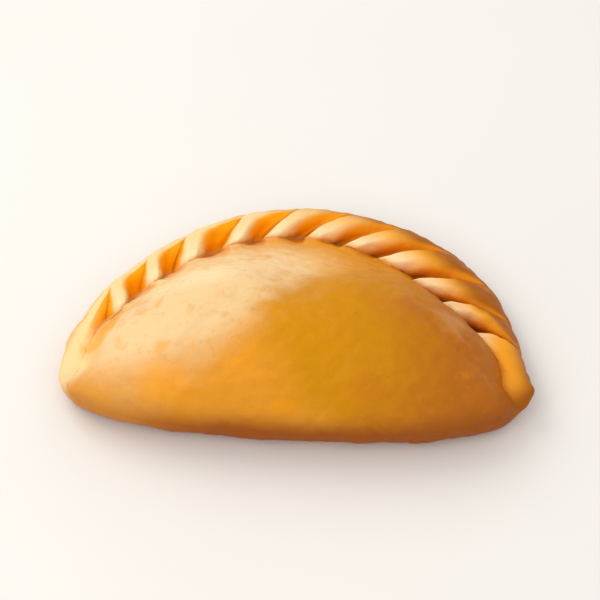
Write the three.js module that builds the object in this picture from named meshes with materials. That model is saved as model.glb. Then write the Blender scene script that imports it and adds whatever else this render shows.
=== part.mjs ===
// A baked empanada: a half-moon turnover of dough round a plump filling, shut along its
// curved edge by a rope crimp of slanting folds. One solid, in millimetres, +Z up. It lies
// on its flat underside, its length along X, the crimp behind (+Y) and the fold in front.

import * as THREE from 'three';

// Plan: half superellipses behind the line of the tips and in front of it
const HALF_LENGTH = 69;
const BACK_DEPTH = 67; // from the line of the tips to the back of the crimp
const BACK_SHIFT = 3; // how far the back of the crimp stands right of the middle
const BACK_POWER_AT_LEFT = 1.77; // under 2 makes the back straighter, over 2 fuller
const BACK_POWER_AT_RIGHT = 2.16;
const FRONT_DEPTH = 20; // from the line of the tips to the middle of the fold
const FRONT_POWER = 2.5; // over 2 makes the two front corners fuller

// Belly
const CROWN_HEIGHT = 35;
const CROWN_SETBACK = 11; // from the line of the tips back to the crown
const CROWN_LENGTH = 62; // half lengths of the ovals that the grid draws round the crown
const CROWN_WIDTH = 35;
const BACK_FULLNESS = 2; // power of the slope down to the crimp, behind
const END_FULLNESS = 4; // the same towards the two ends
const ENDS_START = 0.5; // share of the way to the crimp from which the ends have their own slope
const BACK_HOLLOW = 0.45; // how far that slope flattens out before the crimp, behind
const LEFT_END_HOLLOW = 0.8; // the same towards the two ends
const RIGHT_END_HOLLOW = 0.1;
const END_HOLLOW_POWER = 2.6; // over 1 keeps that hollow close to the crimp
const END_ROUNDING = 0.75; // under 1 rounds the two ends off
const FOLD_FULLNESS = 2.3; // over 2 makes the fold's upper side fuller than a round one
const FOLD_RADIUS = 32; // from the fold's widest line to where it levels out
const FOLD_BULGE_HEIGHT = 12; // height of the fold's widest line
const FOLD_UNDERCUT = 9; // from the widest line in to where the fold meets the table
const TIP_UNDERCUT = 3.6; // the same at the tips
const FOLD_POWER = 0.92; // under 1 makes the fold's lower side fuller than a round one

// Low lumps that the filling pushes up, as waves
const LUMPS = [
	{ height: 0.2, xLength: 9.3, yLength: - 8.1, phase: 0.27 },
	{ height: 0.25, xLength: 9.3, yLength: 8.1, phase: 1.33 },
	{ height: 0.2, xLength: 5.2, yLength: - 6.7, phase: 1.3 },
];
const LUMPS_END = 0.75; // share of the way from the crown to the edge where they die away

// Crimp. Angles round its section start at its belly side and go up and over
const CRIMP_WIDTH_AT_LEFT = 11.5;
const CRIMP_WIDTH_AT_RIGHT = 19;
const TIP_WIDTH = 7; // what is left of it at the very tips
const TIP_POWER = 8; // how suddenly it narrows to that
const CRIMP_TOP = 12.5;
const LEFT_TIP_TOP = 10;
const LEFT_TIP_START = - 0.93; // how far right its top starts to sink to that
const RIGHT_TIP_START = 0.93; // the same for the right tip, where only the belly's edge rises
const CRIMP_MIDDLE = 6; // height of its outer edge
const CRIMP_MIDDLE_AT_TIPS = 8;
const CRIMP_START = 0.19 * Math.PI; // where the belly meets it
const TIP_ANGLE = 0.45 * Math.PI; // the same at the tips, where it runs on from the belly
const CRIMP_END = 1.5 * Math.PI; // where its underside is lowest
const FOOT_SHARE = 0.06; // how far in from the lowest ring the flat underside starts

// Folds of the crimp
const FOLDS = 12;
const RELIEF_AT_LEFT = 3.2; // from the crest of a fold to the trough beside it
const RELIEF_AT_RIGHT = 3.8;
const RELIEF_FULL_FROM = 0.9; // angles round the section between which it is full
const RELIEF_FULL_TO = 0.4 * Math.PI;
const RELIEF_END = 0.85 * Math.PI; // it dies away to a smooth outer edge
const STEEP_SIDE = 0.22; // shares of a fold's width: how wide its steep side is
const STEEP_POWER = 0.6; // under 1 rounds that side over into the crest
const SHOULDER_AT_LEFT = 0.34; // where its long slope starts
const SHOULDER_AT_RIGHT = 0.5;
const TROUGH_AT_LEFT = 0.74; // where that slope ends
const TROUGH_AT_RIGHT = 1;
const SLOPE_POWER_AT_RIGHT = 0.45; // under 1 makes that slope round, like a finger's side
const LEAN_AT_LEFT = 0.18; // how far round the plan a fold's outer end is ahead of its head
const LEAN_AT_RIGHT = 0.33;
const LEAN_GROWS_FROM = 3; // the folds between which it changes
const LEAN_GROWS_TO = 8;
const LEAN_AT_TAIL = 0.12;
const LEAN_DROPS_FROM = 9.5;
const LEAN_FADE = 2.2; // how soon past the tips it is gone
const FLAT_AT_START = 1.15; // folds over which the relief grows from nothing at the left tip
const FLAT_AT_END = 0.6; // and over which it dies away at the right tip
const UNEVENNESS = 0.1; // of the folds' heights, either way
const HEIGHT_SEED = 2;
const DRIFT = 0.2; // of their places, in widths of a fold, either way
const DRIFT_SEED = 21166;
const FIRST_LENGTH = 1.48; // of the first fold, in widths of the middle ones

// Heads of the folds, at the belly's edge
const HEAD_LENGTH = 1.15; // angle round the section over which they are felt
const HEAD_REACH = 1.6; // how far they stand into the belly
const HEAD_BALANCE = 0.3; // share of a fold's height that stays on the seam
const RUN_ON = 1; // share by which those at the left are raised to their crest, to run on from it
const PIT_DEPTH = 2; // of the hollows between them
const PITS_START = 0.84; // share of the way out over the belly where the hollows start
const PIT_POWER = 1.5; // over 1 keeps them close to the crimp

// Tail: the last fold, drawn out past the right tip with its underside off the table
const TAIL_LENGTH = 1.7; // in widths of the middle folds
const TAIL_REACH = 2.2; // how far it stands out of the plan
const TAIL_LIFT = 3;
const TAIL_GAP = 5; // how far its underside is off the table
const TAIL_ANGLE = 3.22; // angle of its end round the plan
const TAIL_SPREAD = 0.18;

// Grid of the skin
const COLUMNS_PER_FOLD = 10;
const COLUMNS_IN_FRONT = 40;
const TIP_COLUMNS = 7; // over which the crimp turns into the fold past each tip
const BELLY_ROWS = 15;
const CRIMP_ROWS = 17;
const EDGE_FIT_START = 0.8; // share of the way out where rows start to follow the true edge
const TANGENT_STEP = 0.02; // angle between an outline point and the neighbours that give its tangent
const NEAR_CENTRE = 0.01; // least distance from the plan's centre that directions are taken at

const FOLD_COLUMNS = FOLDS * COLUMNS_PER_FOLD;
const COLUMNS = FOLD_COLUMNS + COLUMNS_IN_FRONT;

const mix = THREE.MathUtils.lerp;
const clamp = THREE.MathUtils.clamp;

// 0 up to a, 1 from b on, and smooth between them; b may be below a
function smooth( a, b, x ) {

	const t = clamp( ( x - a ) / ( b - a ), 0, 1 );
	return t * t * ( 3 - 2 * t );

}

// A steady number from -1 to 1 for each fold, so that no two are quite alike: what is left
// of a large sine without its whole part
const CHANCE_STEP = 12.9898;
const CHANCE_SEED_STEP = 78.233;
const CHANCE_SIZE = 43758.5453;

function chance( index, seed ) {

	const value = Math.sin( ( index + 1 ) * CHANCE_STEP + seed * CHANCE_SEED_STEP ) * CHANCE_SIZE;
	return 2 * ( value - Math.floor( value ) ) - 1;

}

// How far out a place is, in shares of the way to a superellipse with half axes of 1
function farOut( across, along, power ) {

	return ( Math.abs( across ) ** power + Math.abs( along ) ** power ) ** ( 1 / power );

}

function backPower( right ) {

	return mix( BACK_POWER_AT_LEFT, BACK_POWER_AT_RIGHT, ( 1 + right ) / 2 );

}

// The outline at an angle round the plan: 0 left tip, pi/2 back, pi right tip, 3pi/2 front
function outline( angle ) {

	const across = - Math.cos( angle );
	const along = Math.sin( angle );
	const behind = along >= 0;
	const reach = 1 / farOut( across, along, behind ? backPower( across ) : FRONT_POWER );
	return new THREE.Vector2(
		across * reach * HALF_LENGTH + ( behind ? BACK_SHIFT * along ** 2 : 0 ),
		along * reach * ( behind ? BACK_DEPTH : FRONT_DEPTH )
	);

}

// The outline's outward direction, from two neighbouring points
function outward( angle ) {

	const ahead = outline( angle + TANGENT_STEP );
	const tangent = ahead.sub( outline( angle - TANGENT_STEP ) ).normalize();
	return new THREE.Vector2( - tangent.y, tangent.x );

}

// Places on the crimp go by how far right they are: -1 left tip, 0 back, 1 right tip. In
// front of the tips it counts as being at the nearer one
function rightness( angle ) {

	return Math.sin( angle ) > 0 ? - Math.cos( angle ) : - Math.sign( Math.cos( angle ) );

}

function crimpWidth( right ) {

	const toRight = ( 1 + right ) / 2;
	const middleWidth = mix( CRIMP_WIDTH_AT_LEFT, CRIMP_WIDTH_AT_RIGHT, toRight ** 2 );
	return mix( middleWidth, TIP_WIDTH, Math.abs( right ) ** TIP_POWER );

}

// Height of the middle of the crimp's section
function crimpMiddle( right ) {

	return mix( CRIMP_MIDDLE, CRIMP_MIDDLE_AT_TIPS, Math.abs( right ) ** TIP_POWER );

}

function crimpTop( right ) {

	return mix( CRIMP_TOP, LEFT_TIP_TOP, smooth( LEFT_TIP_START, - 1, right ) );

}

// 0 along the crimp to 1 at both tips
function nearTip( right ) {

	return smooth( LEFT_TIP_START, - 1, right ) + smooth( RIGHT_TIP_START, 1, right );

}

// Angle round the crimp's section where the belly meets it
function crimpStart( right ) {

	return mix( CRIMP_START, TIP_ANGLE, nearTip( right ) );

}

// The line on which the belly meets the crimp
function seam( angle ) {

	return outline( angle ).multiplyScalar( 1 - crimpWidth( rightness( angle ) ) / HALF_LENGTH );

}

// What a column of the grid stands for: its angle round the plan and how far right that is,
// how much further round the outer side of the crimp is there, its height across its fold,
// how strong that fold is, and how far past the tips it is, 0 on the crimp and 1 in front
function column( place ) {

	const onCrimp = place <= FOLD_COLUMNS;
	const inFront = onCrimp ? 0 : place - FOLD_COLUMNS;
	const past = Math.min( inFront, COLUMNS_IN_FRONT - inFront ) / TIP_COLUMNS;
	const fold = onCrimp ? place / COLUMNS_PER_FOLD : ( inFront < COLUMNS_IN_FRONT / 2 ? FOLDS : 0 );
	const index = Math.min( Math.floor( fold ), FOLDS - 1 );
	const across = fold - index;

	const drifted = ( n ) => n + ( n % FOLDS === 0 ? 0 : DRIFT * chance( n, DRIFT_SEED ) );
	const even = mix( drifted( index ), drifted( index + 1 ), across );
	const inFirst = Math.min( even, 1 ) * ( FIRST_LENGTH - 1 );
	const inTail = Math.max( even - ( FOLDS - 1 ), 0 ) * ( TAIL_LENGTH - 1 );
	const angle = onCrimp
		? Math.PI * ( even + inFirst + inTail ) / ( FOLDS - 2 + FIRST_LENGTH + TAIL_LENGTH )
		: Math.PI * ( 1 + inFront / COLUMNS_IN_FRONT );

	const grown = mix( LEAN_AT_LEFT, LEAN_AT_RIGHT, smooth( LEAN_GROWS_FROM, LEAN_GROWS_TO, fold ) );
	const fullLean = mix( grown, LEAN_AT_TAIL, smooth( LEAN_DROPS_FROM, FOLDS, fold ) );
	const lean = fullLean * ( 1 - smooth( 0, LEAN_FADE, past ) );
	const strength = smooth( 0, FLAT_AT_START, fold ) * smooth( FOLDS, FOLDS - FLAT_AT_END, fold )
		* ( 1 + UNEVENNESS * chance( index, HEIGHT_SEED ) );
	const right = rightness( angle );
	return { angle, right, lean, profile: foldProfile( across, right ), strength, past: smooth( 0, 1, past ) };

}

// Height across a fold, 0 in the troughs and 1 on the crest, steep on its near side. The
// folds are broader and rounder towards the right
function foldProfile( across, right ) {

	const toRight = ( 1 + right ) / 2;
	const shoulder = mix( SHOULDER_AT_LEFT, SHOULDER_AT_RIGHT, toRight );
	const trough = mix( TROUGH_AT_LEFT, TROUGH_AT_RIGHT, toRight );
	const slope = ( 1 - smooth( shoulder, trough, across ) ) ** mix( 1, SLOPE_POWER_AT_RIGHT, toRight );
	return smooth( 0, STEEP_SIDE, across ) ** STEEP_POWER * slope;

}

// A point of the crimp's section at an angle round it, with its folds raised
function crimpPoint( here, round, strength ) {

	const { profile } = here;
	const toRight = ( 1 + here.right ) / 2;
	const full = smooth( 0, RELIEF_FULL_FROM, round ) * ( 1 - smooth( RELIEF_FULL_TO, RELIEF_END, round ) );
	const raise = mix( RELIEF_AT_LEFT, RELIEF_AT_RIGHT, toRight ) * strength * ( profile - 0.5 ) * full;
	const start = crimpStart( here.right );
	const atHead = 1 - smooth( start, start + HEAD_LENGTH, round );
	const pit = PIT_DEPTH * strength * ( 1 - profile ) * atHead * ( 1 - nearTip( here.right ) );
	const reach = HEAD_REACH * strength * ( profile - HEAD_BALANCE ) * atHead;

	// Across is 0 where the belly meets the section and 1 at its outer edge
	const startCosine = Math.cos( start );
	const across = ( startCosine - Math.cos( round ) ) / ( startCosine + 1 );
	const outside = here.angle + here.lean;
	const nearTail = Math.exp( - ( ( ( outside - TAIL_ANGLE ) / TAIL_SPREAD ) ** 2 ) );
	const tail = across * nearTail;
	const shift = - Math.cos( round ) * raise - reach + tail * TAIL_REACH;
	const plan = seam( here.angle ).lerp( outline( outside ), across );
	plan.addScaledVector( outward( outside ), shift );

	const middle = crimpMiddle( here.right );
	const upper = crimpTop( here.right ) - middle + raise;
	const lower = middle - nearTail * TAIL_GAP;
	const belowTop = round < Math.PI / 2 ? ( 1 - Math.sin( round ) ) * upper : 0;
	const rise = RUN_ON * strength * profile * ( 1 - toRight ) * belowTop;
	const arch = Math.sin( round ) * ( round < Math.PI ? upper : lower );
	const height = middle + arch + tail * TAIL_LIFT + rise - pit;
	return new THREE.Vector3( plan.x, plan.y, height );

}

// Height of the belly's plain form over a place of the plan: it slopes down to the crimp
// behind and at the ends, and bulges over the fold in front
function bellyHeight( x, y ) {

	const along = Math.max( y, 0 ) / BACK_DEPTH;
	const straight = Math.max( Math.hypot( x / HALF_LENGTH, along ), NEAR_CENTRE );
	const across = ( x - BACK_SHIFT * along ** 2 / straight ) / HALF_LENGTH;
	const right = clamp( across / Math.max( Math.hypot( across, along ), NEAR_CENTRE ), - 1, 1 );
	const out = farOut( across, along, backPower( right ) );
	const inFront = smooth( 0, - FRONT_DEPTH / 2, y );
	const toSeam = Math.min( out / ( 1 - crimpWidth( right ) * ( 1 - inFront ) / HALF_LENGTH ), 1 );
	const toEnd = right ** 2 * smooth( 0, ENDS_START, toSeam );
	const full = 1 - toSeam ** mix( BACK_FULLNESS, END_FULLNESS, toEnd );
	const flattened = ( 1 + Math.cos( Math.PI * toSeam ** mix( 1, END_HOLLOW_POWER, toEnd ) ) ) / 2;
	const endHollow = right < 0 ? LEFT_END_HOLLOW : RIGHT_END_HOLLOW;
	const slope = mix( full, flattened, mix( BACK_HOLLOW, endHollow, toEnd ) )
		** mix( 1, END_ROUNDING, toEnd );

	const reach = Math.min( Math.abs( x / HALF_LENGTH ), 1 );
	const foldLine = - FRONT_DEPTH * ( 1 - reach ** FRONT_POWER ) ** ( 1 / FRONT_POWER );
	const fromFold = clamp( ( y - foldLine ) / FOLD_RADIUS, 0, 1 );
	const bulge = ( 1 - ( 1 - fromFold ) ** FOLD_FULLNESS ) ** ( 1 / FOLD_FULLNESS );

	const middle = crimpMiddle( right );
	const seamHeight = middle + ( crimpTop( right ) - middle ) * Math.sin( crimpStart( right ) );
	const edgeHeight = mix( seamHeight, FOLD_BULGE_HEIGHT, inFront );
	return mix( edgeHeight, CROWN_HEIGHT, slope * bulge );

}

const crown = new THREE.Vector2( 0, CROWN_SETBACK );

// A point of the belly's plain form between the crown (0) and its edge (1), on ovals near
// the crown that take the plan's half-moon shape towards the edge
function plainBelly( here, share ) {

	const spoke = seam( here.angle ).lerp( outline( here.angle ), here.past ).sub( crown );
	const reach = spoke.length();
	spoke.normalize();
	const oval = 1 / Math.hypot( spoke.x / CROWN_LENGTH, spoke.y / CROWN_WIDTH );
	const plan = spoke.multiplyScalar( share * mix( oval, reach, smooth( 0, 1, share ) ) ).add( crown );
	return new THREE.Vector3( plan.x, plan.y, bellyHeight( plan.x, plan.y ) );

}

// Height of the lumps over a place of the plan
function lump( x, y ) {

	const waves = LUMPS.map( ( w ) => w.height * Math.sin( x / w.xLength + y / w.yLength + w.phase ) );
	return waves.reduce( ( sum, wave ) => sum + wave );

}

// The belly itself: the plain form, drawn to its true edge, with lumps and with the
// hollows that the folds press into it
function bellyPoint( here, out ) {

	const share = Math.sin( out * Math.PI / 2 );
	const point = plainBelly( here, share );
	point.z += lump( point.x, point.y ) * ( 1 - smooth( LUMPS_END, 1, share ) );

	const bulge = foldPoint( here, 0 );
	const start = crimpStart( here.right );
	const plainEdge = crimpPoint( here, start, 0 ).lerp( bulge, here.past );
	const foldedEdge = crimpPoint( here, start, here.strength ).lerp( bulge, here.past );
	const toEdge = plainEdge.clone().sub( plainBelly( here, 1 ) );
	const toFolded = foldedEdge.sub( plainEdge );
	return point.addScaledVector( toEdge, smooth( EDGE_FIT_START, 1, share ) )
		.addScaledVector( toFolded, smooth( PITS_START, 1, share ) ** PIT_POWER );

}

// A point of the fold's lower side between its widest line (0) and the table (1)
function foldPoint( here, down ) {

	const turn = down * Math.PI / 2;
	const undercut = mix( TIP_UNDERCUT, FOLD_UNDERCUT, Math.abs( Math.sin( here.angle ) ) );
	const inset = undercut * ( 1 - Math.cos( turn ) );
	const plan = outline( here.angle ).addScaledVector( outward( here.angle ), - inset );
	return new THREE.Vector3( plan.x, plan.y, FOLD_BULGE_HEIGHT * ( 1 - Math.sin( turn ) ** FOLD_POWER ) );

}

// A point of the crimp or the fold between the belly (0) and the underside (1)
function edgePoint( here, down ) {

	const round = mix( crimpStart( here.right ), CRIMP_END, down );
	return crimpPoint( here, round, here.strength ).lerp( foldPoint( here, down ), here.past );

}

// The rim of the flat underside
function footPoint( here ) {

	const lowest = edgePoint( here, 1 );
	return lowest.lerp( new THREE.Vector3( crown.x, crown.y, 0 ), FOOT_SHARE ).setZ( 0 );

}

// The skin: rings of points from the crown down over the edge to the middle of the underside
const columns = Array.from( { length: COLUMNS }, ( _, place ) => column( place ) );
const points = [ bellyPoint( columns[ 0 ], 0 ) ];
for ( let row = 1; row <= BELLY_ROWS; row ++ ) {

	points.push( ...columns.map( ( here ) => bellyPoint( here, row / BELLY_ROWS ) ) );

}

for ( let row = 1; row <= CRIMP_ROWS; row ++ ) {

	points.push( ...columns.map( ( here ) => edgePoint( here, row / CRIMP_ROWS ) ) );

}

points.push( ...columns.map( footPoint ) );
points.push( new THREE.Vector3( crown.x, crown.y, 0 ) );

const rings = BELLY_ROWS + CRIMP_ROWS + 1;
const underside = points.length - 1;
const at = ( ring, place ) => 1 + ring * COLUMNS + place % COLUMNS;
const corners = [];
for ( let place = 0; place < COLUMNS; place ++ ) {

	const next = place + 1;
	corners.push( 0, at( 0, next ), at( 0, place ) );
	for ( let ring = 1; ring < rings; ring ++ ) {

		corners.push( at( ring - 1, place ), at( ring - 1, next ), at( ring, next ) );
		corners.push( at( ring - 1, place ), at( ring, next ), at( ring, place ) );

	}

	corners.push( underside, at( rings - 1, place ), at( rings - 1, next ) );

}

const skin = new THREE.BufferGeometry().setFromPoints( points );
skin.setIndex( corners );

// The origin is the middle of the underside
skin.computeBoundingBox();
const middle = skin.boundingBox.getCenter( new THREE.Vector3() );
skin.translate( - middle.x, - middle.y, - skin.boundingBox.min.z );
skin.computeVertexNormals();

const crust = new THREE.MeshStandardMaterial( { color: 0xdc9030, roughness: 0.5, metalness: 0 } );
const empanada = new THREE.Mesh( skin, crust );
empanada.name = 'empanada';

const part = new THREE.Group();
part.add( empanada );

export default part;
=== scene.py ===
"""The looks of a baked empanada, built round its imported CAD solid.

The crust replaces the CAD node with the same form worked out on a fine grid, with the
small unevenness of baked dough, and gets a procedural finish. The dough's sizes are in
millimetres, with its plan's origin on the line between the tips. The studio's sizes and all
meshes are in metres, +Z up, with the straight fold in front (-Y) and the crimp behind (+Y).
"""

import logging
import math
from dataclasses import dataclass
from enum import Enum
from typing import Any

import bpy
import numpy as np
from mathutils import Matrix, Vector


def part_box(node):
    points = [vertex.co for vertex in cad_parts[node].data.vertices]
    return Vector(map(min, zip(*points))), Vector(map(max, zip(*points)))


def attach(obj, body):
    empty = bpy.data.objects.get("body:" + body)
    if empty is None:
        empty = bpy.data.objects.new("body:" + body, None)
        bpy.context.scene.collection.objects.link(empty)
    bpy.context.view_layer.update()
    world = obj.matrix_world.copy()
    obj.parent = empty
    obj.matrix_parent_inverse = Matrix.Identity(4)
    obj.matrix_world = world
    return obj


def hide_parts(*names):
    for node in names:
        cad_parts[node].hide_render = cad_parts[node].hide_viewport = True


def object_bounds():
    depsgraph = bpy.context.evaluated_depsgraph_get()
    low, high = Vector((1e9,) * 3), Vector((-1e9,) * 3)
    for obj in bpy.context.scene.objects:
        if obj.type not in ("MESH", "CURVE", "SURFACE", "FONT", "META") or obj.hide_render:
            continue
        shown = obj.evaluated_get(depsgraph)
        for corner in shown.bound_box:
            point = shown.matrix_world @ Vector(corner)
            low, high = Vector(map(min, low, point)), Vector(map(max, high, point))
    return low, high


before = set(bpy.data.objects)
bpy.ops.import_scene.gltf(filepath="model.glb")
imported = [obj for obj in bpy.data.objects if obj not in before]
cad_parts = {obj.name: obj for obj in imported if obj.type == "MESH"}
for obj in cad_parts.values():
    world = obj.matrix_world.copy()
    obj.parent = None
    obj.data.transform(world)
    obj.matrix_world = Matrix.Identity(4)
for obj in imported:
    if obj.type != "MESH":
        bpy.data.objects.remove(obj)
CAD_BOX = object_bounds()

NODE = "empanada"
MM = 0.001
SHORTEST = 1e-9

# A large sine's rate for each fold and for each seed, and its height.
CHANCE_STEP = 12.9898
CHANCE_SEED = 78.233
CHANCE_HEIGHT = 43758.5453

# How screens show linear light: a straight start, then a power.
SCREEN_TOP = 255.0
SCREEN_STRAIGHT_END = 0.04045
SCREEN_STRAIGHT_SLOPE = 12.92
SCREEN_SHIFT = 0.055
SCREEN_POWER = 2.4

# How far each unit of a seed moves a pattern along x, y and z, and the middle of a noise.
NOISE_SHIFT = (1.0, 0.7, -1.0)
SPECK_SHIFT = (1.0, -1.0, 0.4)
NOISE_MIDDLE = 0.5

# The Mix node's sockets for colours, which share their names with its others.
MIX_SHARE, MIX_BELOW, MIX_ABOVE, MIX_RESULT = 0, 6, 7, 2

Colour = tuple[float, float, float, float]

log = logging.getLogger("empanada")


def mix(start: Any, end: Any, share: Any) -> Any:
    """Straight mix: start at share 0 and end at share 1."""
    return start + (end - start) * share


def smooth(start: Any, end: Any, value: Any) -> Any:
    """Smooth step: 0 up to start, 1 from end on, 3t^2 - 2t^3 between; end may be lower."""
    t = np.clip((value - start) / (end - start), 0.0, 1.0)
    return t * t * (3.0 - 2.0 * t)


def lift_plan(plan: np.ndarray, height: np.ndarray) -> np.ndarray:
    """Points in space from their places in the plan and their heights."""
    return np.concatenate([plan, height[..., None]], axis=-1)


def chance(index: np.ndarray, seed: float) -> np.ndarray:
    """A steady number from -1 to 1 for each fold: the fraction of a large sine."""
    value = np.sin((index + 1) * CHANCE_STEP + seed * CHANCE_SEED) * CHANCE_HEIGHT
    return 2.0 * (value - np.floor(value)) - 1.0


def far_out(across: np.ndarray, along: np.ndarray, power: Any) -> np.ndarray:
    """Share of the way out to a superellipse with half axes of 1: the root of both powers' sum."""
    return (np.abs(across) ** power + np.abs(along) ** power) ** (1.0 / power)


def new_mesh(name: str, points: np.ndarray, faces: Any) -> bpy.types.Mesh:
    """Makes a mesh.

    Args:
        name: its name.
        points: its points, in metres.
        faces: each face's points by number, turning left as seen from outside.

    Returns:
        The mesh.
    """
    mesh = bpy.data.meshes.new(name)
    mesh.from_pydata(points, [], faces)
    return mesh


def new_object(name: str, data: Any) -> bpy.types.Object:
    """Makes an object and puts it into the scene.

    Args:
        name: its name.
        data: its mesh, light or camera.

    Returns:
        The object, at the origin.
    """
    made = bpy.data.objects.new(name, data)
    bpy.context.scene.collection.objects.link(made)
    return made


@dataclass(frozen=True)
class Along:
    """A size that changes evenly from the left tip to the right tip."""

    left: float
    right: float

    def at(self, right: np.ndarray) -> np.ndarray:
        """The size at places from -1 at the left tip to 1 at the right tip."""
        return mix(self.left, self.right, (1.0 + right) / 2.0)


@dataclass(frozen=True)
class Plan:
    """The outline seen from above: half superellipses behind the tips' line and in front."""

    half_length: float = 69.0
    back_depth: float = 67.0
    back_shift: float = 3.0
    back_power: Along = Along(1.77, 2.16)
    front_depth: float = 20.0
    front_power: float = 2.5
    tangent_step: float = 0.02
    near_centre: float = 0.01

    def outline(self, angle: np.ndarray) -> np.ndarray:
        """The outline at angles round the plan.

        The point at an angle lies at (-cos, sin) times the reach at which the sum of
        their powers is 1, stretched to the half length and the depth; the back also
        moves right with the square of the sine.

        Args:
            angle: 0 at the left tip, pi/2 at the back, pi at the right tip.

        Returns:
            The points' x and y along the last axis.
        """
        across, along = -np.cos(angle), np.sin(angle)
        behind = along >= 0
        power = np.where(behind, self.back_power.at(across), self.front_power)
        reach = 1.0 / far_out(across, along, power)
        x = across * reach * self.half_length + np.where(behind, self.back_shift * along**2, 0.0)
        y = along * reach * np.where(behind, self.back_depth, self.front_depth)
        return np.stack([x, y], axis=-1)

    def outward(self, angle: np.ndarray) -> np.ndarray:
        """The outline's outward direction: its tangent turned a quarter left.

        Args:
            angle: as for the outline.

        Returns:
            Unit vectors' x and y along the last axis.
        """
        tangent = self.outline(angle + self.tangent_step) - self.outline(angle - self.tangent_step)
        tangent /= np.linalg.norm(tangent, axis=-1, keepdims=True)
        return np.stack([-tangent[..., 1], tangent[..., 0]], axis=-1)

    def rightness(self, angle: np.ndarray) -> np.ndarray:
        """-1 at the left tip, 0 at the back, 1 at the right tip, and the nearer tip's in front."""
        return np.where(np.sin(angle) > 0, -np.cos(angle), -np.sign(np.cos(angle)))

    def fold_line(self, x: np.ndarray) -> np.ndarray:
        """The front outline's y at each x: the superellipse solved for its second axis."""
        reach = np.minimum(np.abs(x / self.half_length), 1.0)
        return -self.front_depth * (1.0 - reach**self.front_power) ** (1.0 / self.front_power)


@dataclass(frozen=True)
class Folds:
    """The slanting folds of the rope crimp: their spacing, relief and lean."""

    count: int = 12
    relief: Along = Along(3.2, 3.8)
    balance: float = 0.5
    relief_from: float = 0.9
    relief_to: float = 0.4 * math.pi
    relief_end: float = 0.85 * math.pi
    steep_side: float = 0.22
    steep_power: float = 0.6
    slope_power: Along = Along(1.0, 0.45)
    shoulder: Along = Along(0.34, 0.5)
    trough: Along = Along(0.74, 1.0)
    lean_left: float = 0.18
    lean_right: float = 0.33
    lean_grows_from: float = 3.0
    lean_grows_to: float = 8.0
    lean_at_tail: float = 0.12
    lean_drops_from: float = 9.5
    lean_fade: float = 2.2
    flat_at_start: float = 1.15
    flat_at_end: float = 0.6
    unevenness: float = 0.1
    height_seed: float = 2.0
    drift: float = 0.2
    drift_seed: float = 21166.0
    first_length: float = 1.48
    tail_length: float = 1.7

    def profile(self, across: np.ndarray, right: np.ndarray) -> np.ndarray:
        """Height across a fold: a steep smooth rise, a crest and a smooth slope down.

        A power under 1 rounds the rise over into the crest, and the slope towards the
        right, where the folds lie side by side like fingers.

        Args:
            across: place across the fold, 0 at its near border and 1 at its far one.
            right: -1 at the left tip to 1 at the right tip, where the crests are broader.

        Returns:
            0 in the troughs to 1 on the crest.
        """
        rise = smooth(0.0, self.steep_side, across) ** self.steep_power
        slope = 1.0 - smooth(self.shoulder.at(right), self.trough.at(right), across)
        return rise * slope ** self.slope_power.at(right)

    def drifted(self, border: np.ndarray) -> np.ndarray:
        """The borders between folds, each moved a little, but for the first and the last."""
        moved = np.where(border % self.count == 0, 0.0, self.drift)
        return border + moved * chance(border, self.drift_seed)

    def angle(self, even: np.ndarray) -> np.ndarray:
        """Angle round the plan, with the first and the last fold drawn out.

        Args:
            even: place in folds from the left tip.

        Returns:
            The angle, 0 at the left tip to pi at the right one.
        """
        in_first = np.minimum(even, 1.0) * (self.first_length - 1.0)
        in_tail = np.maximum(even - (self.count - 1), 0.0) * (self.tail_length - 1.0)
        whole = self.count - 2 + self.first_length + self.tail_length
        return math.pi * (even + in_first + in_tail) / whole

    def lean(self, fold: np.ndarray, past: np.ndarray) -> np.ndarray:
        """How far round the plan a fold's outer end is ahead of its head.

        Args:
            fold: place in folds from the left tip.
            past: how far past the tips it is, 1 where the crimp has turned into the fold.

        Returns:
            The lean as an angle.
        """
        grown = mix(self.lean_left, self.lean_right,
                    smooth(self.lean_grows_from, self.lean_grows_to, fold))
        full = mix(grown, self.lean_at_tail, smooth(self.lean_drops_from, self.count, fold))
        return full * (1.0 - smooth(0.0, self.lean_fade, past))

    def strength(self, fold: np.ndarray) -> np.ndarray:
        """How strong the folds are: they grow from nothing at the tips."""
        fading = smooth(self.count, self.count - self.flat_at_end, fold)
        return smooth(0.0, self.flat_at_start, fold) * fading

    def relief_share(self, turn: np.ndarray) -> np.ndarray:
        """How much of the relief shows at an angle round the crimp's section, 0 to 1."""
        fade = 1.0 - smooth(self.relief_to, self.relief_end, turn)
        return smooth(0.0, self.relief_from, turn) * fade


@dataclass(frozen=True)
class Heads:
    """The folds' inner ends, which stand into the belly, and the pits between them."""

    length: float = 1.15
    reach: float = 1.6
    balance: float = 0.3
    run_on: float = 1.0
    pit_depth: float = 2.0
    pits_start: float = 0.84
    pit_power: float = 1.5


@dataclass(frozen=True)
class Tail:
    """The last fold's drawn-out end, clear of the table."""

    reach: float = 2.2
    lift: float = 3.0
    gap: float = 5.0
    angle: float = 3.22
    spread: float = 0.18

    def near(self, angle: np.ndarray) -> np.ndarray:
        """A bell round the tail's end: e to the minus square of the distance in spreads."""
        return np.exp(-(((angle - self.angle) / self.spread) ** 2))


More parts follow.
